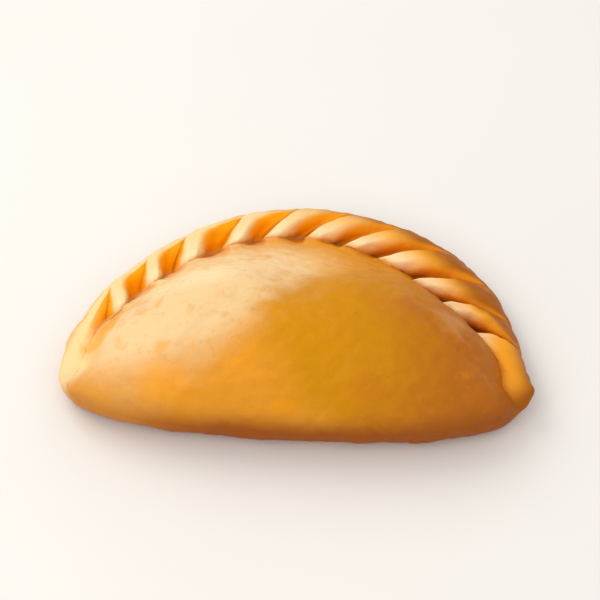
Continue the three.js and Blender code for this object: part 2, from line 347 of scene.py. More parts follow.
@dataclass(frozen=True)
class Crimp:
    """The crimp's section, round which the folds lie; angles start at its belly side."""

    width_left: float = 11.5
    width_right: float = 19.0
    tip_width: float = 7.0
    tip_power: float = 8.0
    top: float = 12.5
    left_tip_top: float = 10.0
    left_tip_start: float = -0.93
    right_tip_start: float = 0.93
    middle: float = 6.0
    middle_at_tips: float = 8.0
    start: float = 0.19 * math.pi
    tip_angle: float = 0.45 * math.pi
    end: float = 1.5 * math.pi
    foot_share: float = 0.06

    def width(self, right: np.ndarray) -> np.ndarray:
        """Its width: a mix from left to right, narrowing by a high power to the tips'."""
        between = mix(self.width_left, self.width_right, ((1.0 + right) / 2.0) ** 2)
        return mix(between, self.tip_width, np.abs(right) ** self.tip_power)

    def middle_height(self, right: np.ndarray) -> np.ndarray:
        """Height of the section's middle, which rises towards the tips."""
        return mix(self.middle, self.middle_at_tips, np.abs(right) ** self.tip_power)

    def top_height(self, right: np.ndarray) -> np.ndarray:
        """Height of the section's top, which sinks at the left tip."""
        return mix(self.top, self.left_tip_top, smooth(self.left_tip_start, -1.0, right))

    def near_tip(self, right: np.ndarray) -> np.ndarray:
        """0 along the crimp to 1 at both tips, where the belly runs on into its top."""
        return smooth(self.left_tip_start, -1.0, right) + smooth(self.right_tip_start, 1.0, right)

    def start_angle(self, right: np.ndarray) -> np.ndarray:
        """Angle where the belly meets the section, which is near its top at the tips."""
        return mix(self.start, self.tip_angle, self.near_tip(right))

    def seam_height(self, right: np.ndarray) -> np.ndarray:
        """Height of the belly's edge on the section."""
        middle = self.middle_height(right)
        return middle + (self.top_height(right) - middle) * np.sin(self.start_angle(right))


@dataclass(frozen=True)
class Belly:
    """The plump filled part between the crimp and the fold."""

    crown_height: float = 35.0
    crown_setback: float = 11.0
    crown_length: float = 62.0
    crown_width: float = 35.0
    back_fullness: float = 2.0
    end_fullness: float = 4.0
    ends_start: float = 0.5
    back_hollow: float = 0.45
    left_end_hollow: float = 0.8
    right_end_hollow: float = 0.1
    end_hollow_power: float = 2.6
    end_rounding: float = 0.75
    fold_fullness: float = 2.3
    fold_radius: float = 32.0
    bulge_height: float = 12.0
    undercut: float = 9.0
    tip_undercut: float = 3.6
    fold_power: float = 0.92
    lumps: tuple[tuple[float, ...], ...] = (
        (0.2, 9.3, -8.1, 0.27), (0.25, 9.3, 8.1, 1.33), (0.2, 5.2, -6.7, 1.3),
    )
    lumps_end: float = 0.75
    edge_fit_start: float = 0.8

    def lump(self, plan: np.ndarray) -> np.ndarray:
        """Low lumps: the sum of a few sine waves, each of a height, two lengths and a phase."""
        x, y = plan[..., 0], plan[..., 1]
        return sum(h * np.sin(x / lx + y / ly + phase) for h, lx, ly, phase in self.lumps)

    def slope(self, to_seam: np.ndarray, right: np.ndarray) -> np.ndarray:
        """How much of the crown's height is left on the way out to the crimp.

        Behind it is a mix of 1 minus a power of the way out and of half a cosine wave,
        which flattens out before the crimp; the ends have their own powers and mix.

        Args:
            to_seam: share of the way out, 0 at the middle and 1 at the crimp.
            right: how far right it is, -1 to 1.

        Returns:
            1 at the middle to 0 at the crimp.
        """
        to_end = right**2 * smooth(0.0, self.ends_start, to_seam)
        full = 1.0 - to_seam ** mix(self.back_fullness, self.end_fullness, to_end)
        wave = math.pi * to_seam ** mix(1.0, self.end_hollow_power, to_end)
        end_hollow = np.where(right < 0, self.left_end_hollow, self.right_end_hollow)
        hollow = mix(self.back_hollow, end_hollow, to_end)
        fallen = mix(full, (1.0 + np.cos(wave)) / 2.0, hollow)
        return np.maximum(fallen, 0.0) ** mix(1.0, self.end_rounding, to_end)

    def bulge(self, from_fold: np.ndarray) -> np.ndarray:
        """Rise over the fold in front: a quarter superellipse of the way back from its line."""
        across = 1.0 - np.clip(from_fold / self.fold_radius, 0.0, 1.0)
        return (1.0 - across**self.fold_fullness) ** (1.0 / self.fold_fullness)


@dataclass(frozen=True)
class Blister:
    """A small bubble in the crust: its place in the plan, its radius and its height."""

    x: float
    y: float
    radius: float
    height: float

    def raised(self, plan: np.ndarray) -> np.ndarray:
        """A bell: the height times e to the minus square of the distance in radii."""
        squared = (plan[..., 0] - self.x) ** 2 + (plan[..., 1] - self.y) ** 2
        return self.height * np.exp(-squared / self.radius**2)


@dataclass(frozen=True)
class Waves:
    """Random waves in space, for the unevenness that rolling and baking leave."""

    count: int
    shortest: float
    longest: float
    height: float
    seed: int

    def raised(self, points: np.ndarray) -> np.ndarray:
        """The sum of sines with random directions, lengths and phases, longer ones higher.

        Args:
            points: places in millimetres, x, y and z along the last axis.

        Returns:
            How far each point stands out, in millimetres.
        """
        draw = np.random.default_rng(self.seed)
        total = np.zeros(points.shape[:-1])
        for _ in range(self.count):
            direction = draw.normal(size=3)
            direction /= np.linalg.norm(direction)
            length = draw.uniform(self.shortest, self.longest)
            phase = draw.uniform(0.0, 2.0 * math.pi)
            total += length * np.sin(points @ direction * (2.0 * math.pi / length) + phase)
        return total * self.height / (self.longest * math.sqrt(self.count / 2.0))


@dataclass(frozen=True)
class Dough:
    """All small unevenness of the crust: soft waves, fine waves, blisters and creases."""

    soft: Waves = Waves(26, 9.0, 19.0, 0.17, 5)
    fine: Waves = Waves(40, 2.4, 6.0, 0.13, 11)
    blisters: tuple[Blister, ...] = (
        Blister(43.0, 5.5, 1.5, 0.6),
        Blister(46.2, 3.1, 1.2, 0.6),
        Blister(48.6, 1.3, 1.0, 0.5),
        Blister(40.0, 8.9, 1.8, 0.55),
        Blister(50.4, 5.9, 1.4, 0.55),
        Blister(37.0, 15.5, 2.2, 0.35),
        Blister(-38.0, 27.5, 2.0, 0.3),
        Blister(-21.0, 37.5, 1.7, 0.3),
        Blister(14.0, 10.5, 2.1, 0.25),
        Blister(2.0, 36.5, 1.6, 0.3),
    )
    crease_depth: float = 0.1
    crease_length: float = 0.016
    crease_reach: float = 0.1
    crease_from: float = 0.9
    crease_to: float = 2.3
    crease_fade: float = 0.3
    crease_sway: float = 2.0
    crease_sways: float = 9.0
    flat_height: float = 3.0

    def raised(self, points: np.ndarray) -> np.ndarray:
        """The waves and the blisters together, which fade out towards the flat underside.

        Args:
            points: places in millimetres, x, y and z along the last axis.

        Returns:
            How far each point stands out, in millimetres.
        """
        total = self.soft.raised(points) + self.fine.raised(points)
        total = total + sum(blister.raised(points[..., :2]) for blister in self.blisters)
        return total * smooth(0.0, self.flat_height, points[..., 2])

    def creased(self, angle: np.ndarray, share: np.ndarray) -> np.ndarray:
        """Fine creases that the pinching draws into the belly's edge, as sine grooves.

        Args:
            angle: angle round the plan.
            share: share of the way from the crown to the belly's edge.

        Returns:
            How far each point is drawn in, in millimetres.
        """
        near = smooth(1.0 - self.crease_reach, 1.0, share)
        where = smooth(self.crease_from, self.crease_from + self.crease_fade, angle)
        where = where * smooth(self.crease_to, self.crease_to - self.crease_fade, angle)
        sway = self.crease_sway * np.sin(angle * self.crease_sways)
        grooves = np.sin(angle / self.crease_length + sway)
        return self.crease_depth * near * where * np.maximum(grooves, 0.0)


@dataclass(frozen=True)
class Columns:
    """What each column of the grid stands for, as arrays of one value a column.

    They are its angle round the plan, how far right that is, how far its fold leans, where
    it lies across the fold, the fold's profile and strength there, and how far past the
    tips it is, 1 where the front has taken over from the crimp.
    """

    angle: np.ndarray
    right: np.ndarray
    lean: np.ndarray
    across: np.ndarray
    profile: np.ndarray
    strength: np.ndarray
    past: np.ndarray

    @property
    def to_right(self) -> np.ndarray:
        """0 at the left tip to 1 at the right tip."""
        return (1.0 + self.right) / 2.0


@dataclass(frozen=True)
class Crust:
    """The whole skin of the empanada, on rings that run from the crown to the underside."""

    plan: Plan = Plan()
    folds: Folds = Folds()
    heads: Heads = Heads()
    tail: Tail = Tail()
    crimp: Crimp = Crimp()
    belly: Belly = Belly()
    dough: Dough = Dough()
    columns_per_fold: int = 40
    columns_in_front: int = 150
    tip_share: float = 7 / 40
    belly_rows: int = 84
    crimp_rows: int = 66

    @property
    def crown(self) -> np.ndarray:
        """The crown's place in the plan."""
        return np.array([0.0, self.belly.crown_setback])

    def columns(self) -> Columns:
        """Lays the columns round the plan: evenly over each fold, then over the front.

        Returns:
            The columns, from the left tip over the back to the right tip and on in front.
        """
        folds, per_fold, in_front = self.folds, self.columns_per_fold, self.columns_in_front
        fold_columns = folds.count * per_fold
        place = np.arange(fold_columns + in_front, dtype=float)
        on_crimp = place <= fold_columns
        front = np.where(on_crimp, 0.0, place - fold_columns)
        past = np.minimum(front, in_front - front) / (in_front * self.tip_share)
        near_tail = front < in_front / 2
        fold = np.where(on_crimp, place / per_fold, np.where(near_tail, folds.count, 0.0))
        index = np.minimum(np.floor(fold), folds.count - 1)
        across = fold - index
        even = mix(folds.drifted(index), folds.drifted(index + 1), across)
        angle = np.where(on_crimp, folds.angle(even), math.pi * (1.0 + front / in_front))
        uneven = 1.0 + folds.unevenness * chance(index, folds.height_seed)
        strength = folds.strength(fold) * uneven
        right = self.plan.rightness(angle)
        lean, profile = folds.lean(fold, past), folds.profile(across, right)
        return Columns(angle, right, lean, across, profile, strength, smooth(0.0, 1.0, past))

    def seam(self, angle: np.ndarray) -> np.ndarray:
        """The line on which the belly meets the crimp: the outline drawn in by its width."""
        width = self.crimp.width(self.plan.rightness(angle))
        return self.plan.outline(angle) * (1.0 - width / self.plan.half_length)[..., None]

    def crimp_points(self, at: Columns, turn: np.ndarray, strength: np.ndarray) -> np.ndarray:
        """Points round the crimp's section.

        The section is an arch from the seam over to the outline and down to the table.
        The folds raise it along its own outward direction; the pits lower the seam
        side, the heads reach into the belly and the tail's end is drawn out and lifted.
        Towards the left the crests stay level from their top back to the belly, so that
        they run on from it: there they gain what the arch lacks of its top.

        Args:
            at: the columns.
            turn: angle round the section, broadcast against the columns.
            strength: how strong the folds are, 0 for the plain section.

        Returns:
            The points, in millimetres.
        """
        folds, heads, crimp = self.folds, self.heads, self.crimp
        shown = folds.relief.at(at.right) * folds.relief_share(turn)
        raised = shown * strength * (at.profile - folds.balance)
        start = crimp.start_angle(at.right)
        at_head = 1.0 - smooth(start, start + heads.length, turn)
        hollow = (1.0 - at.profile) * (1.0 - crimp.near_tip(at.right))
        pit = heads.pit_depth * strength * hollow * at_head
        reach = heads.reach * strength * (at.profile - heads.balance) * at_head
        across = (np.cos(start) - np.cos(turn)) / (np.cos(start) + 1.0)
        outside = at.angle + at.lean
        near_tail = self.tail.near(outside)
        tail = across * near_tail
        shift = -np.cos(turn) * raised - reach + tail * self.tail.reach
        plan = mix(self.seam(at.angle), self.plan.outline(outside), across[..., None])
        plan = plan + self.plan.outward(outside) * shift[..., None]
        middle = crimp.middle_height(at.right)
        upper = crimp.top_height(at.right) - middle + raised
        lower = middle - near_tail * self.tail.gap
        below_top = np.where(turn < math.pi / 2.0, 1.0 - np.sin(turn), 0.0) * upper
        rise = heads.run_on * below_top * strength * at.profile * (1.0 - at.right) / 2.0
        arch = np.sin(turn) * np.where(turn < math.pi, upper, lower)
        return lift_plan(plan, middle + arch + tail * self.tail.lift + rise - pit)

    def belly_height(self, plan: np.ndarray) -> np.ndarray:
        """Height of the belly's plain form over places of the plan.

        One factor falls from the middle to the seam, and another rises from the fold
        line in front. Their product mixes the edge's height with the crown's.

        Args:
            plan: places in the plan, x and y along the last axis.

        Returns:
            The heights, in millimetres.
        """
        belly, sizes = self.belly, self.plan
        x, y = plan[..., 0], plan[..., 1]
        along = np.maximum(y, 0.0) / sizes.back_depth
        straight = np.maximum(np.hypot(x / sizes.half_length, along), sizes.near_centre)
        across = (x - sizes.back_shift * along**2 / straight) / sizes.half_length
        out = np.maximum(np.hypot(across, along), sizes.near_centre)
        right = np.clip(across / out, -1.0, 1.0)
        in_front = smooth(0.0, -sizes.front_depth / 2.0, y)
        seam = 1.0 - self.crimp.width(right) * (1.0 - in_front) / sizes.half_length
        to_seam = np.minimum(far_out(across, along, sizes.back_power.at(right)) / seam, 1.0)
        left = belly.slope(to_seam, right) * belly.bulge(y - sizes.fold_line(x))
        edge_height = mix(self.crimp.seam_height(right), belly.bulge_height, in_front)
        return mix(edge_height, belly.crown_height, left)

    def plain_belly(self, at: Columns, share: np.ndarray) -> np.ndarray:
        """The plain form on spokes from the crown, in ovals that turn into the half-moon.

        Args:
            at: the columns.
            share: share of the way from the crown to the belly's edge.

        Returns:
            The points, in millimetres.
        """
        belly = self.belly
        edge = mix(self.seam(at.angle), self.plan.outline(at.angle), at.past[..., None])
        spoke = edge - self.crown
        reach = np.linalg.norm(spoke, axis=-1)
        spoke = spoke / reach[..., None]
        across, along = spoke[..., 0] / belly.crown_length, spoke[..., 1] / belly.crown_width
        oval = 1.0 / np.hypot(across, along)
        out = share * mix(oval, reach, smooth(0.0, 1.0, share))
        plan = self.crown + spoke * out[..., None]
        return lift_plan(plan, self.belly_height(plan))

    def belly_points(self, at: Columns, row: np.ndarray) -> np.ndarray:
        """The belly itself: the plain form with lumps, brought to its true edge.

        Args:
            at: the columns.
            row: share of the rows from the crown (0) to the edge (1).

        Returns:
            The points, in millimetres.
        """
        belly, heads = self.belly, self.heads
        share = np.sin(row * math.pi / 2.0)
        points = self.plain_belly(at, share)
        lumps = belly.lump(points[..., :2]) * (1.0 - smooth(belly.lumps_end, 1.0, share))
        points[..., 2] += lumps - self.dough.creased(at.angle, share)
        flat, past = np.zeros_like(at.angle), at.past[..., None]
        start = self.crimp.start_angle(at.right)
        bulge = self.fold_points(at, flat)
        plain_edge = mix(self.crimp_points(at, start, flat), bulge, past)
        folded_edge = mix(self.crimp_points(at, start, at.strength), bulge, past)
        to_edge = plain_edge - self.plain_belly(at, np.ones_like(at.angle))
        fit = smooth(belly.edge_fit_start, 1.0, share)
        pits = smooth(heads.pits_start, 1.0, share) ** heads.pit_power
        return points + to_edge * fit[..., None] + (folded_edge - plain_edge) * pits[..., None]

    def fold_points(self, at: Columns, down: np.ndarray) -> np.ndarray:
        """The fold's lower side: a quarter superellipse from its widest line to the table.

        Args:
            at: the columns.
            down: share of the way down, 0 at the widest line and 1 on the table.

        Returns:
            The points, in millimetres.
        """
        belly = self.belly
        turn = down * math.pi / 2.0
        undercut = mix(belly.tip_undercut, belly.undercut, np.abs(np.sin(at.angle)))
        inset = undercut * (1.0 - np.cos(turn))
        plan = self.plan.outline(at.angle) - self.plan.outward(at.angle) * inset[..., None]
        height = belly.bulge_height * (1.0 - np.sin(turn) ** belly.fold_power)
        return lift_plan(plan, np.broadcast_to(height, plan.shape[:-1]))

    def turn(self, at: Columns, down: np.ndarray) -> np.ndarray:
        """Angle round the crimp's section at a share of the way down from the belly."""
        return mix(self.crimp.start_angle(at.right), self.crimp.end, down)

    def edge_points(self, at: Columns, down: np.ndarray) -> np.ndarray:
        """The crimp behind and the fold in front, mixed where one turns into the other."""
        behind = self.crimp_points(at, self.turn(at, down), at.strength)
        return mix(behind, self.fold_points(at, down), at.past[..., None])

    def foot_points(self, at: Columns) -> np.ndarray:
        """The rim of the flat underside, a little way in from the lowest row.

        Args:
            at: the columns.

        Returns:
            The points, in millimetres.
        """
        lowest = self.edge_points(at, np.ones_like(at.angle))
        points = mix(lowest, np.array([*self.crown, 0.0]), self.crimp.foot_share)
        points[..., 2] = 0.0
        return points

    def rings(self) -> np.ndarray:
        """All rings of the skin, from the crown over the edge to the underside.

        Returns:
            The points as rows by columns by three, in millimetres.
        """
        at = self.columns()
        wide = Columns(*(values[None, :] for values in vars(at).values()))
        belly_rows = np.arange(1, self.belly_rows + 1)[:, None] / self.belly_rows
        crimp_rows = np.arange(1, self.crimp_rows + 1)[:, None] / self.crimp_rows
        one = np.ones_like(wide.angle)
        belly = self.belly_points(wide, belly_rows * one)
        edge = self.edge_points(wide, crimp_rows * one)
        return np.concatenate([belly, edge, self.foot_points(wide)], axis=0)


class Mark(Enum):
    """The numbers from 0 to 1 that the crust's mesh carries at its points for its finish."""

    CRIMP = "crimp"
    # amber in the hollows, partly pooled egg wash and partly painted shade; painted shade on the steep
    # sides
    POCKET = "pocket"
    # painted shade: golden in the crease where the belly meets the crimp
    SEAM_SHADE = "seam"
    # painted shade: dark in the creases between folds and the gaps between heads
    CREASE_SHADE = "crease_shade"
    # painted highlight: the folds' crests lightened at their heads
    HEAD_HIGHLIGHT = "head"
    # the crimp's outer band, darker: partly browning, partly painted shade
    OUTER = "outer"
    # brown low down: the foot's browning, and on the lower front partly painted shade
    LOW = "low"


@dataclass(frozen=True)
class Noise:
    """Cloudy noise: blotches to a metre, finer layers and their strength, a seed and a bend."""

    scale: float
    detail: float = 3.0
    roughness: float = 0.5
    seed: float = 0.0
    warp: float = 0.0


@dataclass(frozen=True)
class Area:
    """An oval region of the crust: its centre and its reach along x, y and z, in millimetres."""

    centre: tuple[float, float, float]
    size: tuple[float, float, float]


class ShaderTree:
    """A material's node tree, with short ways to add the nodes that the finish needs."""

    def __init__(self, name: str) -> None:
        """Starts an empty material.

        Args:
            name: the material's name.
        """
        self.material = bpy.data.materials.new(name)
        self.material.use_nodes = True
        self.tree = self.material.node_tree
        self.tree.nodes.clear()
        self.place = self.node("ShaderNodeTexCoord").outputs["Object"]

    def node(self, kind: str, settings: dict | None = None, sockets: dict | None = None) -> Any:
        """Adds one node: its settings first, then its sockets.

        Args:
            kind: the node's type.
            settings: its properties, such as a Math node's operation.
            sockets: values, colours or links for its inputs, by name or number.

        Returns:
            The new node.
        """
        made = self.tree.nodes.new(kind)
        for name, value in (settings or {}).items():
            setattr(made, name, value)
        for name, value in (sockets or {}).items():
            value = value.socket if isinstance(value, Value) else value
            if isinstance(value, bpy.types.NodeSocket):
                self.tree.links.new(value, made.inputs[name])
            else:
                made.inputs[name].default_value = value
        return made

    def vector(self, operation: str, *inputs: Any) -> Any:
        """One Vector Math node on its inputs in order."""
        return self.node("ShaderNodeVectorMath", {"operation": operation}, dict(enumerate(inputs)))

    def attribute(self, mark: Mark) -> "Value":
        """A number that the mesh carries at its points."""
        found = self.node("ShaderNodeAttribute", {"attribute_name": mark.value})
        return Value(self, found.outputs["Fac"])

    def coordinate(self, axis: str) -> "Value":
        """The object's own X, Y or Z, in metres."""
        split = self.node("ShaderNodeSeparateXYZ", sockets={0: self.place})
        return Value(self, split.outputs[axis])

    def noise(self, noise: Noise) -> "Value":
        """Cloudy noise in space, about -0.5 to 0.5 round its middle.

        Args:
            noise: its kind.

        Returns:
            The noise.
        """
        moved = self.vector("ADD", self.place, tuple(noise.seed * part for part in NOISE_SHIFT))
        made = self.node("ShaderNodeTexNoise", sockets={
            "Vector": moved.outputs["Vector"], "Scale": noise.scale, "Detail": noise.detail,
            "Roughness": noise.roughness, "Distortion": noise.warp,
        })
        return Value(self, made.outputs["Fac"]) - NOISE_MIDDLE

    def specks(self, scale: float, seed: float) -> "Value":
        """Distance to the nearest of many scattered points.

        Args:
            scale: how many points there are along a metre.
            seed: an offset that makes them other points.

        Returns:
            The distance in their spacings, 0 at a point.
        """
        moved = self.vector("ADD", self.place, tuple(seed * part for part in SPECK_SHIFT))
        made = self.node("ShaderNodeTexVoronoi", {"feature": "F1"}, {
            "Vector": moved.outputs["Vector"], "Scale": scale, "Randomness": 1.0,
        })
        return Value(self, made.outputs["Distance"])

    def patch(self, area: Area) -> "Value":
        """A soft patch in space: a smooth step of the distance in its reaches.

        Args:
            area: where it is and how far it reaches.

        Returns:
            The mask, 1 at the area's centre and falling to 0 at its border.
        """
        scale = tuple(1.0 / (MM * reach) for reach in area.size)
        origin = tuple(-MM * middle * part for middle, part in zip(area.centre, scale))
        scaled = self.vector("MULTIPLY_ADD", self.place, scale, origin)
        length = self.vector("LENGTH", scaled.outputs["Vector"])
        return Value(self, length.outputs["Value"]).step(1.0, 0.0)

    def colour(self, below: Any, above: Any, share: "Value") -> Any:
        """Lays one colour over another.

        Args:
            below: the colour at share 0.
            above: the colour at share 1.
            share: how much of the upper one shows.

        Returns:
            The mixed colour's socket.
        """
        mixed = self.node("ShaderNodeMix", {"data_type": "RGBA", "clamp_factor": True},
                          {MIX_SHARE: share, MIX_BELOW: below, MIX_ABOVE: above})
        return mixed.outputs[MIX_RESULT]

    def finish(self, sockets: dict) -> bpy.types.Material:
        """Ends the tree in its surface.

        Args:
            sockets: values, colours or links for the Principled node's inputs.

        Returns:
            The material.
        """
        surface = self.node("ShaderNodeBsdfPrincipled", sockets=sockets)
        self.node("ShaderNodeOutputMaterial", sockets={"Surface": surface.outputs["BSDF"]})
        return self.material


class Value:
    """A number that varies over the surface, with Python's operators as Math nodes."""

    def __init__(self, tree: ShaderTree, socket: Any) -> None:
        """Wraps a socket.

        Args:
            tree: the tree that the socket is in.
            socket: an output that gives a number.
        """
        self.tree = tree
        self.socket = socket

    def math(self, operation: str, first: Any, second: Any) -> "Value":
        """One Math node on two numbers or values."""
        made = self.tree.node("ShaderNodeMath", {"operation": operation}, {0: first, 1: second})
        return Value(self.tree, made.outputs[0])

    def __add__(self, other: Any) -> "Value":
        """This plus the other."""
        return self.math("ADD", self, other)

    __radd__ = __add__

    def __sub__(self, other: Any) -> "Value":
        """This minus the other."""
        return self.math("SUBTRACT", self, other)

    def __rsub__(self, other: Any) -> "Value":
        """The other minus this."""
        return self.math("SUBTRACT", other, self)

    def __mul__(self, other: Any) -> "Value":
        """This times the other."""
        return self.math("MULTIPLY", self, other)

    __rmul__ = __mul__

    def greatest(self, other: Any) -> "Value":
        """The greater of the two."""
        return self.math("MAXIMUM", self, other)

    def step(self, low: float, high: float) -> "Value":
        """Smooth step over this value.

        Args:
            low: where it is 0.
            high: where it is 1, which may be lower than low.

        Returns:
            The step, 0 to 1.
        """
        flip = high < low
        made = self.tree.node("ShaderNodeMapRange", {"interpolation_type": "SMOOTHSTEP"}, {
            "Value": self, "From Min": min(low, high), "From Max": max(low, high),
            "To Min": float(flip), "To Max": float(not flip),
        })
        return Value(self.tree, made.outputs["Result"])


@dataclass(frozen=True)
class Veil:
    """How a colour lies over another: from where to where it fades in, and how strongly."""

    start: float
    full: float
    strength: float = 1.0
    unevenness: float = 0.0

    def share(self, mask: Value, uneven: Any = 0.0) -> Value:
        """The mask with its share of unevenness, through a smooth step, times the strength."""
        return (mask + uneven * self.unevenness).step(self.start, self.full) * self.strength


def paint(red: int, green: int, blue: int) -> Colour:
    """A colour as screens show it, turned into linear light.

    Args:
        red: 0 to 255, as are the others.
        green: the second channel.
        blue: the third channel.

    Returns:
        Red, green, blue and alpha, 0 to 1.
    """
    seen = np.array([red, green, blue]) / SCREEN_TOP
    curved = ((seen + SCREEN_SHIFT) / (1.0 + SCREEN_SHIFT)) ** SCREEN_POWER
    linear = np.where(seen <= SCREEN_STRAIGHT_END, seen / SCREEN_STRAIGHT_SLOPE, curved)
    return (*linear.tolist(), 1.0)


@dataclass(frozen=True)
class Marking:
    """Where each mark lies on the skin, by rows from the seam, angles, shares or millimetres."""

    soft_rows: float = 1.0
    soft_rows_at_tips: float = 8.0
    rim: Along = Along(0.66 * math.pi, 0.9 * math.pi)
    pocket_from: Along = Along(0.4, 0.84)
    pocket_power: Along = Along(0.55, 0.2)
    pocket_softness: float = 0.17
    pocket_fade: float = 0.3
    steep_from: float = 0.03
    steep_to: float = 0.14
    seam_rows: float = 2.5
    # The painted crease shade's width and strength, from the left tip to the right.
    crease_width: Along = Along(0.05, 0.13)
    crease_shade_strength: Along = Along(0.5, 1.0)
    crease_fade: float = 0.35
    gap_row: float = 1.0
    gap_rows: float = 3.5
    gap_profile: tuple[float, float] = (0.6, 0.1)
    # Where the painted highlight on the heads lies, by rows from the seam and by turn.
    head_rows: tuple[float, float] = (-2.0, 1.0)
    head_turn: tuple[float, float] = (1.6, 0.8)
    outer_from: Along = Along(0.6 * math.pi, 0.33 * math.pi)
    outer_to: Along = Along(0.9 * math.pi, 0.56 * math.pi)
    tail: tuple[float, float] = (0.8, 0.95)
    tail_outer: tuple[float, float] = (0.5 * math.pi, 0.9 * math.pi)
    front: tuple[float, float] = (8.0, -12.0)
    low_at_left: float = 0.5
    left_end: tuple[float, float] = (-55.0, -15.0)
    low_height: float = 23.0
    low_depth: float = 13.0
    foot: tuple[float, float] = (6.0, 1.0)

    def leaf(self, crimp: Crimp, at: Columns, turn: np.ndarray) -> np.ndarray:
        """How far from its two ends a pocket is: half a sine wave from the seam to its rim."""
        start = crimp.start_angle(at.right)
        return np.sin(math.pi * np.clip((turn - start) / (self.rim.at(at.right) - start), 0.0, 1.0))

    def pocket(self, at: Columns, leaf: np.ndarray) -> np.ndarray:
        """The hollows between the ridges, amber partly as pooled egg wash and partly as painted shade,
        and the ridges' steep sides, as painted shade.

        A hollow's near border is a share of the fold, moved to the far border at the
        leaf's ends by a power of the leaf.

        Args:
            at: the columns.
            leaf: 0 at a pocket's ends to 1 in its middle.

        Returns:
            The mark.
        """
        near = mix(1.0, self.pocket_from.at(at.right), leaf ** self.pocket_power.at(at.right))
        hollow = smooth(near - self.pocket_softness, near + self.pocket_softness, at.across)
        steep = 1.0 - smooth(self.steep_from, self.steep_to, at.across)
        return np.maximum(hollow, steep) * smooth(0.0, self.pocket_fade, leaf)

    def crease_shade(self, at: Columns, leaf: np.ndarray, row: np.ndarray) -> np.ndarray:
        """Painted shade: dark lines between folds, and at the right dark gaps between their heads.

        Args:
            at: the columns.
            leaf: 0 at a pocket's ends to 1 in its middle.
            row: rows from the seam.

        Returns:
            The mark.
        """
        from_border = np.minimum(at.across, 1.0 - at.across)
        line = 1.0 - smooth(0.0, self.crease_width.at(at.right), from_border)
        line = line * self.crease_shade_strength.at(at.right) * smooth(0.0, self.crease_fade, leaf)
        near_seam = np.exp(-(((row - self.gap_row) / self.gap_rows) ** 2))
        gap = near_seam * smooth(*self.gap_profile, at.profile)
        return np.maximum(line, gap * at.to_right)

    def outer(self, at: Columns, turn: np.ndarray) -> np.ndarray:
        """The crimp's outer band, wider towards the right but not on the tail, darker partly as
        browning and partly as painted shade.

        Args:
            at: the columns.
            turn: angle round the crimp's section.

        Returns:
            The mark.
        """
        at_tail = smooth(*self.tail, at.right)
        start = mix(self.outer_from.at(at.right), self.tail_outer[0], at_tail)
        end = mix(self.outer_to.at(at.right), self.tail_outer[1], at_tail)
        return smooth(start, end, turn)

    def low(self, rings: np.ndarray) -> np.ndarray:
        """The lower part of the front, less so at the left, and the foot all round: browned, and on
        the front partly painted shade.

        Args:
            rings: the skin's points, in millimetres.

        Returns:
            The mark.
        """
        x, y, z = rings[..., 0], rings[..., 1], rings[..., 2]
        in_front = smooth(*self.front, y) * mix(self.low_at_left, 1.0, smooth(*self.left_end, x))
        side = np.clip((self.low_height - z) / self.low_depth, 0.0, 1.0)
        return np.maximum(side * in_front, smooth(*self.foot, z))

    def marks(self, crust: Crust, rings: np.ndarray) -> dict[Mark, np.ndarray]:
        """All the marks of a skin.

        Args:
            crust: the skin's form.
            rings: its points before the dough's unevenness, in millimetres.

        Returns:
            One array of rows by columns for each mark, from 0 to 1.
        """
        at = crust.columns()
        row = np.arange(1, len(rings) + 1)[:, None] - crust.belly_rows
        turn = crust.turn(at, np.clip(row / crust.crimp_rows, 0.0, 1.0))
        behind = 1.0 - at.past
        folded = np.minimum(at.strength, 1.0) * behind
        soft = mix(self.soft_rows_at_tips, self.soft_rows, folded)
        crimp = smooth(-soft, soft, row) * behind
        leaf = self.leaf(crust.crimp, at, turn)
        head = smooth(*self.head_rows, row) * smooth(*self.head_turn, turn)
        return {
            Mark.CRIMP: crimp,
            Mark.POCKET: self.pocket(at, leaf) * folded,
            Mark.SEAM_SHADE: np.exp(-((row / self.seam_rows) ** 2)) * folded,
            Mark.CREASE_SHADE: self.crease_shade(at, leaf, row) * folded,
            Mark.HEAD_HIGHLIGHT: at.profile**2 * folded * head,
            Mark.OUTER: self.outer(at, turn) * crimp,
            Mark.LOW: self.low(rings),
        }


